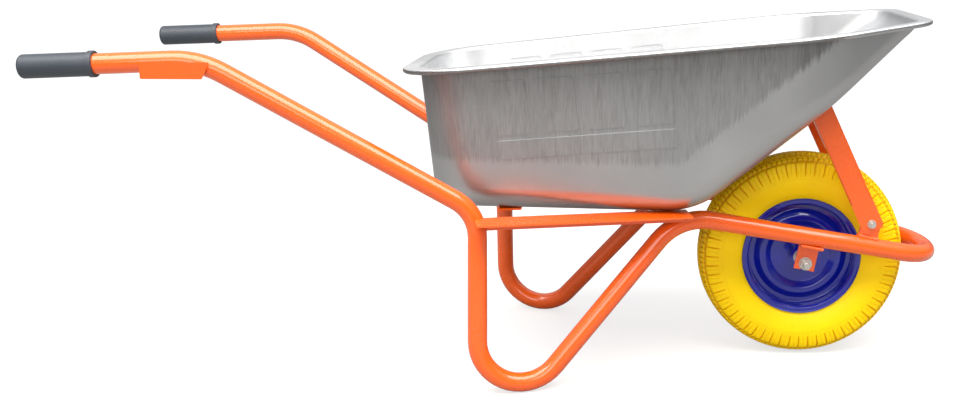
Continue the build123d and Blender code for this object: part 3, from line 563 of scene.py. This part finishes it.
# %% Tyre finish
YELLOW, WORN_YELLOW, AMBER = (1.0, 0.70, 0.0, 1), (0.93, 0.56, 0.0, 1), (0.72, 0.34, 0.0, 1)
tyre_foam = Finish("tyre_foam", Specular_IOR_Level=0.2)
marks = tyre_foam.place(marks_group, Amount=0.5, Gloss=0.42, Dullness=0.16)
marks.inputs["Colour"].default_value = YELLOW
marks.inputs["Dull colour"].default_value = WORN_YELLOW
# Painted shade and dirt: the grooves are tinted amber by their depth, broken up by a mottle.
groove = tyre_foam.node("ShaderNodeAttribute", attribute_name="groove")
groove_mottle = spread(tyre_foam.tree, noise(tyre_foam.tree, 120.0, detail=4.0).outputs["Fac"], 0.75, 1.0)
amber = tyre_foam.node("ShaderNodeMix", data_type="RGBA")
amber.inputs[7].default_value = AMBER
dirt_and_painted_shade = math_node(tyre_foam.tree, "MULTIPLY", groove.outputs["Fac"], groove_mottle)
tyre_foam.wire(dirt_and_painted_shade, amber.inputs["Factor"])
tyre_foam.wire(marks.outputs["Colour"], amber.inputs[6])
tyre_foam.feed(amber.outputs[2], "Base Color")
tyre_foam.feed(marks.outputs["Roughness"], "Roughness")
pores = tyre_foam.place(peel_group, Lump_size=0.0011)
tyre_foam.bump(pores.outputs["Height"], 0.00006)
print("tyre foam ready")

# %% [markdown]
# ## Finishes for the parts that stay
#
# Most CAD parts already have the right shape, so they only change their material. The record says
# which finish each node has, and a table turns the record's slot into a Blender material. That
# way no part can be forgotten.

# %% Give every CAD node its finish
FINISHES = {
    "orange_powder_coat": orange_paint,
    "label_plate": label_paint,
    "grip_plastic": grip_plastic,
    "zinc_sheet": zinc_sheet.material,
    "zinc_fastener": zinc_fastener,
    "bearing_steel": bearing_steel,
    "blue_enamel": blue_enamel,
    "yellow_tyre": tyre_foam.material,
}
for part in frame["record"]["subparts"]:
    node = frame["nodes"][part["node"]]
    for material_slot in node.material_slots:
        material_slot.material = FINISHES[part["material_slot"]]

# %% [markdown]
# ## Geometry Nodes for things that repeat
#
# The tyre's slices and the ripples of a weld are each one small shape, repeated. Two node groups
# cover them. The first turns copies of a shape round the axle. The second sets copies along a
# line. Both realise their copies, so what comes out is one plain mesh.

# %% The two repeating groups
RIPPLE_OVERLAP = 1.75  # a ripple's length, in steps


class NodeGroup:
    """A Geometry Nodes group with named inputs, and short ways to add and join its nodes."""

    def __init__(self, name, **inputs):
        self.group = bpy.data.node_groups.new(name, "GeometryNodeTree")
        self.socket("Geometry", "INPUT", "Geometry")
        for label, (kind, value) in inputs.items():
            socket = self.socket(label, "INPUT", kind)
            if value is not None:
                socket.default_value = value
        self.socket("Geometry", "OUTPUT", "Geometry")
        self.inputs = self.group.nodes.new("NodeGroupInput").outputs
        self.out = self.group.nodes.new("NodeGroupOutput").inputs

    def socket(self, label, in_out, kind):
        sockets = self.group.interface
        return sockets.new_socket(label, in_out=in_out, socket_type="NodeSocket" + kind)

    def node(self, kind, wires=None, **settings):
        made = self.group.nodes.new(kind)
        for key, value in settings.items():
            setattr(made, key, value)
        for socket, source in (wires or {}).items():
            if isinstance(source, bpy.types.NodeSocket):
                self.group.links.new(source, made.inputs[socket])
            else:
                made.inputs[socket].default_value = source
        return made.outputs

    def finish(self, geometry):
        """Ends the group with Realize Instances, Merge by Distance and Set Material."""
        realised = self.node("GeometryNodeRealizeInstances", {0: geometry})
        merged = self.node(
            "GeometryNodeMergeByDistance", {"Geometry": realised[0], "Distance": 1e-6}
        )
        coloured = self.node(
            "GeometryNodeSetMaterial", {"Geometry": merged[0], "Material": self.inputs["Material"]}
        )
        self.group.links.new(coloured[0], self.out[0])


around = NodeGroup(
    "copies_round_axle",
    Count=("Int", 60),
    Centre=("Vector", (0.0, 0.0, 0.0)),
    Material=("Material", None),
)
points = around.node(
    "GeometryNodePoints", {"Count": around.inputs["Count"], "Position": around.inputs["Centre"]}
)
number = around.node("GeometryNodeInputIndex")
share = around.node("ShaderNodeMath", {0: number[0], 1: around.inputs["Count"]}, operation="DIVIDE")
turn = around.node("ShaderNodeMath", {0: share[0], 1: 2 * math.pi}, operation="MULTIPLY")
facing = around.node("ShaderNodeCombineXYZ", {"Y": turn[0]})
copies = around.node(
    "GeometryNodeInstanceOnPoints",
    {"Points": points[0], "Instance": around.inputs["Geometry"], "Rotation": facing[0]},
)
around.finish(copies[0])

along = NodeGroup(
    "ripples_along_line",
    Step=("Float", 0.0016),
    Width=("Float", 0.006),
    Height=("Float", 0.003),
    Seed=("Int", 1),
    Material=("Material", None),
)
line = along.node("GeometryNodeMeshToCurve", {"Mesh": along.inputs["Geometry"]})
spaced = along.node(
    "GeometryNodeResampleCurve", {"Curve": line[0], "Length": along.inputs["Step"]}, mode="LENGTH"
)
tangent = along.node("GeometryNodeInputTangent")
up_line = along.node(
    "GeometryNodeInputNamedAttribute", {"Name": "outward"}, data_type="FLOAT_VECTOR"
)
aim = along.node("FunctionNodeAlignEulerToVector", {"Vector": tangent[0]}, axis="X")
lift = along.node(
    "FunctionNodeAlignEulerToVector",
    {"Rotation": aim[0], "Vector": up_line[0]},
    axis="Z",
    pivot_axis="X",
)
drop_shape = along.node("GeometryNodeMeshIcoSphere", {"Radius": 0.5, "Subdivisions": 3})
long = along.node(
    "ShaderNodeMath", {0: along.inputs["Step"], 1: RIPPLE_OVERLAP}, operation="MULTIPLY"
)
chance = along.node(
    "FunctionNodeRandomValue",
    {"Min": (0.9, 0.82, 0.8), "Max": (1.1, 1.12, 1.1), "Seed": along.inputs["Seed"]},
    data_type="FLOAT_VECTOR",
)
size = along.node(
    "ShaderNodeCombineXYZ", {"X": long[0], "Y": along.inputs["Width"], "Z": along.inputs["Height"]}
)
varied = along.node("ShaderNodeVectorMath", {0: size[0], 1: chance[0]}, operation="MULTIPLY")
ripples = along.node(
    "GeometryNodeInstanceOnPoints",
    {"Points": spaced[0], "Instance": drop_shape[0], "Rotation": lift[0], "Scale": varied[0]},
)
along.finish(ripples[0])


def grown(piece, group, **inputs):
    """Runs a node group on a piece, keeps the result as its plain mesh and drops the modifier."""
    modifier = piece.modifiers.new("grow", "NODES")
    modifier.node_group = group.group
    for item in group.group.interface.items_tree:
        if item.item_type == "SOCKET" and item.in_out == "INPUT" and item.name in inputs:
            modifier[item.identifier] = inputs[item.name]
    bpy.context.view_layer.update()
    evaluated = piece.evaluated_get(bpy.context.evaluated_depsgraph_get())
    plain = bpy.data.meshes.new_from_object(evaluated)
    piece.modifiers.remove(modifier)
    piece.data = plain
    return piece


def smooth(piece, sharp_above):
    """Smooth shading, except at edges that turn more than this."""
    piece.data.shade_smooth()
    piece.data.set_sharp_from_angle(angle=sharp_above)
    return piece


print("groups:", around.group.name, along.group.name)

# %% [markdown]
# ## The tyre
#
# One slice of the tyre, a sixtieth of a turn, is a sheet of faces: its rows follow the tyre's
# section from bead to bead, its columns run round the axle. The columns bend in a zigzag over the
# crown, so the grooves between blocks run along them and stay sharp. Grooves are sunk inwards
# from a section close to the CAD tyre's, which stands up to 0.8 mm outside it at the shoulders,
# and the depth of each point is kept as the groove attribute that the material reads. The faces
# are wound towards the axle; a Flip Faces node after the copies would turn them outwards.

# %% Tyre slice and its copies
LUGS = 60
SECTION = (  # half of the section: distance from the middle, and from the axle
    (0.0, 0.1022), (0.0120, 0.1022), (0.0220, 0.1022), (0.0280, 0.1022), (0.0315, 0.1022),
    (0.0335, 0.1027), (0.0350, 0.1040), (0.0357, 0.1060), (0.0358, 0.1090), (0.0358, 0.1120),
    (0.0358, 0.1148), (0.0364, 0.1162), (0.0392, 0.1196), (0.0425, 0.1265), (0.0458, 0.1360),
    (0.0476, 0.1450), (0.0480, 0.1500), (0.0478, 0.1548), (0.0471, 0.1620), (0.0459, 0.1690),
    (0.0443, 0.1755), (0.0424, 0.1805), (0.0400, 0.1840), (0.0368, 0.1866), (0.0320, 0.1893),
    (0.0262, 0.1915), (0.0200, 0.1932), (0.0130, 0.1946), (0.0065, 0.1954), (0.0, 0.1958),
)
MOULD_LINE = 0.1515  # radius of the thin line round the sidewall
MOULD_LINE_DEPTH, MOULD_LINE_HALF_WIDTH = 0.0006, 0.0007
LUG_FOOT = 0.1565  # radius where the shoulder lugs begin
LUG_ONSET, LUG_LENGTH = 0.0035, 0.030  # radial run to full depth, and to full width
RING_GROOVES = ((0.0385, 0.0020, 0.0032), (0.0215, 0.0022, 0.0040))  # place, half width, depth
CROWN_EDGE = 0.0385  # half width of the crown, which has the tread blocks
CROWN_RADIUS, BEND_RADIUS = 0.18, 0.178  # the ring grooves and the zigzag start from these
LUG_GROOVE = 0.0024
BLOCK_GROOVE = 0.0030
BLOCK_GAP = 0.0011  # half width of the groove across each block
SIPE, SIPE_HALF_WIDTH = 0.0009, 0.0005
BLOCK_ROW = 0.0215  # how wide one row of blocks is
ZIGZAG = 0.34  # how far the columns bend sideways, in pitches
SEAT_STEP = 0.0060
SMOOTH_STEP = 0.0040
TREAD_STEP = 0.0020
RIM_EDGE = 0.1120  # radius where the steps change from those of the seat
KNOT_STEPS = 12


def section_points():
    """The half section, smoothed and stepped, finely where there is tread, as (place, normal)."""
    fine = []
    knots = [Vector(p) for p in SECTION]
    for i in range(len(knots) - 1):
        before = knots[max(i - 1, 0)]
        after = knots[min(i + 2, len(knots) - 1)]
        for j in range(KNOT_STEPS):
            t = j / KNOT_STEPS
            fine.append(
                0.5 * (2 * knots[i] + (knots[i + 1] - before) * t
                       + (2 * before - 5 * knots[i] + 4 * knots[i + 1] - after) * t * t
                       + (3 * knots[i] - before - 3 * knots[i + 1] + after) * t ** 3)
            )
    fine.append(knots[-1])
    even, gone = [fine[0]], 0.0
    for p, q in zip(fine, fine[1:]):
        gone += (q - p).length
        step = SMOOTH_STEP if q.y > RIM_EDGE else SEAT_STEP
        if q.y > MOULD_LINE - 0.003:
            step = TREAD_STEP
        if gone >= step:
            even.append(q)
            gone = 0.0
    if (even[-1] - fine[-1]).length > TREAD_STEP / 3:
        even.append(fine[-1])
    even[-1] = fine[-1]
    rows = []
    for i, p in enumerate(even):
        run = even[min(i + 1, len(even) - 1)] - even[max(i - 1, 0)]
        rows.append((p, Vector((run.y, -run.x)).normalized()))
    rows[-1] = (even[-1], Vector((0, 1)))
    return rows


def bell(distance, half_width, edge=0.0005):
    """1 inside half_width, falling to 0 over an edge, for the flanks of a groove."""
    return max(0.0, min(1.0, (half_width + edge - abs(distance)) / (2 * edge)))


def tread_depth(across, radius, column):
    """How deep the mould cuts at a place: across the tyre and from 0 to 1 along one pitch."""
    pitch = 2 * math.pi * radius / LUGS
    depth = 0.0
    if across > 0.04:
        depth = MOULD_LINE_DEPTH * bell(radius - MOULD_LINE, MOULD_LINE_HALF_WIDTH)
    on_tread = max(0.0, min(1.0, (radius - LUG_FOOT) / LUG_ONSET))
    if on_tread > 0:
        from_edge = min(column, 1 - column) * pitch
        from_middle = (column - 0.5) * pitch
        high = min(1.0, (radius - LUG_FOOT) / LUG_LENGTH)
        gap = 0.0007 + 0.0007 * high
        cut = LUG_GROOVE + (BLOCK_GROOVE - LUG_GROOVE) * high
        depth = max(depth, on_tread * cut * bell(from_edge, gap))
        if across > CROWN_EDGE:
            depth = max(depth, on_tread * SIPE * bell(from_middle, SIPE_HALF_WIDTH))
        else:
            depth = max(depth, BLOCK_GROOVE * bell(from_middle, BLOCK_GAP))
        if radius > CROWN_RADIUS:
            for place, half_width, deep in RING_GROOVES:
                depth = max(depth, deep * bell(across - place, half_width))
    return depth


def zigzag(across):
    """Sideways bend of the columns over the crown, in pitches: to and fro with each block row."""
    if abs(across) >= 2 * BLOCK_ROW:
        return 0.0
    wave = across / BLOCK_ROW
    return ZIGZAG * (2 * abs(wave - math.floor(wave + 0.5)))


HALF_COLUMNS = (0.0, 0.035, 0.065, 0.10, 0.18, 0.30, 0.42, 0.46)  # shares of one pitch
COLUMNS = (*HALF_COLUMNS, 0.5, *(1 - c for c in reversed(HALF_COLUMNS)))
half_rows = section_points()
rows = [(Vector((-p.x, p.y)), Vector((-n.x, n.y))) for p, n in half_rows] + [
    (p, n) for p, n in reversed(half_rows[:-1])
]
slice_points, slice_depths = [], []
for row, (place, normal) in enumerate(rows):
    for column in COLUMNS:
        depth = tread_depth(abs(place.x), place.y, column)
        at = place - normal * depth
        shift = zigzag(place.x) if place.y > BEND_RADIUS else 0.0
        angle = 2 * math.pi / LUGS * (column + shift)
        slice_points.append((at.y * math.sin(angle), at.x, at.y * math.cos(angle)))
        slice_depths.append(depth / BLOCK_GROOVE)
wide = len(COLUMNS)
slice_faces = [
    (r * wide + c, (r + 1) * wide + c, (r + 1) * wide + c + 1, r * wide + c + 1)
    for r in range(len(rows) - 1)
    for c in range(wide - 1)
]
tyre_skin = mesh_from("yellow_tyre_tread", slice_points, slice_faces)
grooves = tyre_skin.data.attributes.new("groove", "FLOAT", "POINT")
grooves.data.foreach_set("value", [min(1.0, d) for d in slice_depths])
grown(tyre_skin, around, Count=LUGS, Centre=AXLE, Material=FINISHES["yellow_tyre"])
smooth(tyre_skin, math.radians(50))
print(f"tyre: {len(rows)} rows, {len(tyre_skin.data.polygons)} faces")

# %% [markdown]
# ## Where a weld runs
#
# A weld lies in the corner where one part meets another. Points are sampled along the edges of
# the smaller part, and those that touch the other part's surface are kept. Sorted along the
# seam and thinned, they are the line that the ripples follow, and each point knows which way is
# out of the joint.

# %% Weld beads
TAB_BEAD = (0.0080, 0.0060)  # width and height
BRACKET_BEAD = (0.0066, 0.0060)
BEAD_LIFT = 0.0018
TAB_SEED, BRACKET_SEED = 3, 11
SEAM_STEP = 0.004  # one point of the seam is kept in each step


def surface_of(node):
    mesh = frame["nodes"][node].data
    triangles = [tuple(p.vertices) for p in mesh.polygons]
    return BVHTree.FromPolygons([v.co for v in mesh.vertices], triangles)


def contact_points(node, surface, reach=0.0009, step=0.0012):
    """Points on a node's edges that lie within reach of a surface."""
    mesh = frame["nodes"][node].data
    found = []
    for edge in mesh.edges:
        a, b = (mesh.vertices[i].co for i in edge.vertices)
        count = max(1, int((b - a).length / step))
        for i in range(count + 1):
            at = a.lerp(b, i / count)
            near = surface.find_nearest(at, reach)
            if near[0] is not None:
                found.append((at, near[1]))
    return found


def bead(name, points, outward, size, seed, step=0.0027):
    """A rippled weld bead through points, as one piece."""
    width, height = size
    line = bpy.data.meshes.new(name)
    line.from_pydata([tuple(p) for p in points], [(i, i + 1) for i in range(len(points) - 1)], [])
    out = line.attributes.new("outward", "FLOAT_VECTOR", "POINT")
    out.data.foreach_set("vector", [c for o in outward for c in o])
    piece = bpy.data.objects.new(name, line)
    bpy.context.scene.collection.objects.link(piece)
    grown(piece, along, Step=step, Width=width, Height=height, Seed=seed, Material=orange_paint)
    return smooth(piece, math.radians(60))


def outer_top_edge(node, side, within=0.0006, count=9):
    """Points along a plate's outermost upper edge, from its rear end to its front end."""
    vertices = [v.co for v in frame["nodes"][node].data.vertices]
    outermost = max(v.y * side for v in vertices)
    rim = [v for v in vertices if v.y * side > outermost - within]
    ends = []
    for x in (min(v.x for v in rim), max(v.x for v in rim)):
        ends.append(max((v for v in rim if abs(v.x - x) < 0.004), key=lambda v: v.z))
    return [ends[0].lerp(ends[1], i / (count - 1)) for i in range(count)]


tube_surface = surface_of("frame_tube")
weld_pieces = []
for side, sign in SIDES.items():
    tab = f"{side}_strut_tab"
    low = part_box(tab)[0]
    touching = contact_points(tab, tube_surface)
    for face, end in ((sign, "outer"), (-sign, "inner")):
        bins = {}
        for at, normal in touching:
            key = round((at.x - low.x) / SEAM_STEP)
            if key not in bins or (at.y - bins[key][0].y) * face > 0:
                bins[key] = (at, normal)
        picked = [bins[k] for k in sorted(bins)]
        out = [(n + Vector((0, face * 1.2, 0))).normalized() for p, n in picked]
        path = [p + o * BEAD_LIFT for (p, n), o in zip(picked, out)]
        weld_pieces.append(bead(f"{tab}_weld_{end}", path, out, TAB_BEAD, TAB_SEED))
    bracket = f"{side}_axle_bracket"
    path = outer_top_edge(bracket, sign)
    out = [Vector((0, sign, 0.9)).normalized()] * len(path)
    weld_pieces.append(bead(f"{bracket}_weld", path, out, BRACKET_BEAD, BRACKET_SEED))
    bead_length = (path[-1] - path[0]).length
    print(f"{side}: tab {len(touching)} contact points, bracket bead {bead_length:.3f} m")
print(f"{len(weld_pieces)} weld beads")

# %% [markdown]
# ## Nuts and threads
#
# A nut's corners are turned off at both ends, which leaves the curved line that everyone knows on
# each of its flats. One nut is modelled as a ring of points whose height falls where the corner
# passes the turning circle. Where each nut sits, which way it faces and how its flats are turned
# are measured from the plain CAD nuts, so the new ones sit where those sat.

# %% Nuts with turned corners and thread ridges
COARSE_PITCH, FINE_PITCH = 0.00175, 0.00125
BOLT_REACH = 0.03  # how far from a nut its bolt's points are looked for
BORE_GAP = 0.0001
THREAD_SUNK = 0.0004  # how deep the ridges start inside the nut


def islands(node):
    """A node's separate solids, each as its points, and its triangles' normals and areas."""
    mesh = frame["nodes"][node].data
    work = bmesh.new()
    work.from_mesh(mesh)
    bmesh.ops.remove_doubles(work, verts=work.verts, dist=1e-6)
    left = set(work.verts)
    found = []
    while left:
        stack, group = [left.pop()], set()
        while stack:
            vertex = stack.pop()
            group.add(vertex)
            for edge in vertex.link_edges:
                other = edge.other_vert(vertex)
                if other in left:
                    left.discard(other)
                    stack.append(other)
        faces = {f for v in group for f in v.link_faces}
        points = numpy.array([tuple(v.co) for v in group])
        normals = numpy.array([tuple(f.normal) for f in faces])
        areas = numpy.array([f.calc_area() for f in faces])
        found.append((points, normals, areas))
    work.free()
    return found


def nut_frame(points, normals, areas):
    """A hexagonal nut's centre, axis, one flat's direction, height and width across flats."""
    values, ways = numpy.linalg.eigh((normals * areas[:, None]).T @ normals)
    alone = max(range(3), key=lambda i: min(abs(values[i] - values[j]) for j in range(3) if j != i))
    axis = ways[:, alone]
    side_on = numpy.abs(normals @ axis) < 0.02
    groups = {}
    for normal, area in zip(normals[side_on], areas[side_on]):
        key = tuple(numpy.round(normal, 2))
        groups[key] = groups.get(key, 0) + area
    flat = Vector(max(groups, key=groups.get)).normalized()
    axis = Vector(axis)
    centre = Vector((points.max(0) + points.min(0)) / 2)
    along_axis = points @ numpy.array(axis)
    across = points @ numpy.array(flat)
    centre += axis * ((along_axis.max() + along_axis.min()) / 2 - centre.dot(axis))
    return centre, axis, flat, along_axis.max() - along_axis.min(), across.max() - across.min()


def nut_mesh(height, flats, bore, turned=math.tan(math.radians(30)), per_flat=10):
    """Points and faces of a nut round Z with turned corners and a bore, one flat facing X."""
    rings, count = [], 6 * per_flat
    corner_circle = flats / 2 * 1.03
    for end in (-1, 1):
        bore_ring, flat_ring, side_ring = [], [], []
        for i in range(count):
            angle = 2 * math.pi * i / count
            off = (angle + math.pi / 6) % (math.pi / 3) - math.pi / 6
            radius = flats / 2 / math.cos(off)
            fall = max(0.0, radius - corner_circle) * turned
            way = Vector((math.cos(angle), math.sin(angle), 0))
            end_level = Vector((0, 0, end * height / 2))
            bore_ring.append(way * bore + end_level)
            flat_ring.append(way * min(radius, corner_circle) * 0.999 + end_level)
            side_ring.append(way * radius + Vector((0, 0, end * (height / 2 - fall - 0.0001))))
        rings += [bore_ring, flat_ring, side_ring] if end < 0 else [side_ring, flat_ring, bore_ring]
    rings.append(rings[0])
    vertices = [p for ring in rings[:-1] for p in ring]
    faces = []
    for r in range(6):
        for i in range(count):
            j, k = (i + 1) % count, (r + 1) % 6
            faces.append((r * count + i, r * count + j, k * count + j, k * count + i))
    return vertices, faces


def thread_mesh(radius, length, pitch, depth=0.00035, per_turn=24):
    """Points and faces of thread ridges round Z, sunk at both ends into the bolt they cover."""
    profile = [(radius - depth, 0.0)]
    for ridge in range(int((length - 0.0005) / pitch)):
        foot = ridge * pitch
        profile += [(radius + depth, foot + pitch * 0.4), (radius + depth, foot + pitch * 0.55)]
        profile.append((radius - depth, foot + pitch * 0.95))
    vertices, faces = [], []
    for across, height in profile:
        for i in range(per_turn):
            angle = 2 * math.pi * i / per_turn
            vertices.append((across * math.cos(angle), across * math.sin(angle), height))
    for p in range(len(profile) - 1):
        for i in range(per_turn):
            j, k = (i + 1) % per_turn, p + 1
            faces.append((p * per_turn + i, p * per_turn + j, k * per_turn + j, k * per_turn + i))
    return vertices, faces


def set_up(axis, flat):
    """The turn that takes Z to an axis and X to a flat's direction."""
    side = axis.cross(flat).normalized()
    return Matrix((axis.cross(side) * -1, side, axis)).transposed().to_4x4()


def shape(name, vertices, faces, sharp_above):
    """A zinc piece from points and faces, with its normals outward."""
    piece = mesh_from(name, vertices, faces)
    piece.data.materials.append(FINISHES["zinc_fastener"])
    work = bmesh.new()
    work.from_mesh(piece.data)
    bmesh.ops.recalc_face_normals(work, faces=work.faces)
    work.to_mesh(piece.data)
    work.free()
    return smooth(piece, sharp_above)


def joined(parts):
    """One list of points and one of faces from several, each turned into place."""
    vertices, faces = [], []
    for turn, points, polygons in parts:
        faces += [tuple(i + len(vertices) for i in polygon) for polygon in polygons]
        vertices += [turn @ Vector(p) for p in points]
    return vertices, faces


nut_pieces, thread_pieces = [], []
for nuts, bolts, pitch in (
    ("axle_nuts", "axle", COARSE_PITCH),
    ("strut_nuts", "strut_bolts", FINE_PITCH),
    ("tray_nuts", "tray_bolts", FINE_PITCH),
):
    bolt_points = numpy.concatenate([points for points, _, _ in islands(bolts)])
    turned, ridged = [], []
    for island in islands(nuts):
        centre, axis, flat, height, flats = nut_frame(*island)
        offsets = bolt_points - numpy.array(centre)
        on_axis = offsets @ numpy.array(axis)
        off_axis = numpy.linalg.norm(offsets - on_axis[:, None] * numpy.array(axis), axis=1)
        near = (off_axis < flats / 2) & (abs(on_axis) < BOLT_REACH)
        ahead, behind = on_axis[near].max(), -on_axis[near].min()
        if ahead < height / 2 or height / 2 < behind < abs(ahead):
            axis.negate()
            on_axis = -on_axis
        beyond = near & (on_axis > height / 2)
        radius, reach = off_axis[beyond].max(), on_axis[beyond].max()
        turn = Matrix.Translation(centre) @ set_up(axis, flat)
        turned.append((turn, *nut_mesh(height, flats, radius + BORE_GAP)))
        start = turn @ Matrix.Translation((0, 0, height / 2 - THREAD_SUNK))
        ridged.append((start, *thread_mesh(radius, reach - height / 2, pitch)))
        measures = ", ".join(f"{m * 1000:.1f}" for m in (flats, radius, reach))
        print(f"{nuts}: flats, bolt's radius and reach in mm: {measures}")
    nut_pieces.append((shape(f"{nuts}_turned", *joined(turned), math.radians(22)), nuts))
    thread_pieces.append(shape(f"{bolts}_threads", *joined(ridged), math.radians(60)))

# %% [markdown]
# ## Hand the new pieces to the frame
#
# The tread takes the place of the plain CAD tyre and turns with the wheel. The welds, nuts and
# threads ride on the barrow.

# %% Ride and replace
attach(tyre_skin, "wheel")
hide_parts("tyre")
for piece in weld_pieces:
    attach(piece, "barrow")
for piece, nuts in nut_pieces:
    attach(piece, "barrow")
    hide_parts(nuts)
for piece in thread_pieces:
    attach(piece, "barrow")
print(f"{1 + len(weld_pieces) + len(nut_pieces) + len(thread_pieces)} new pieces")
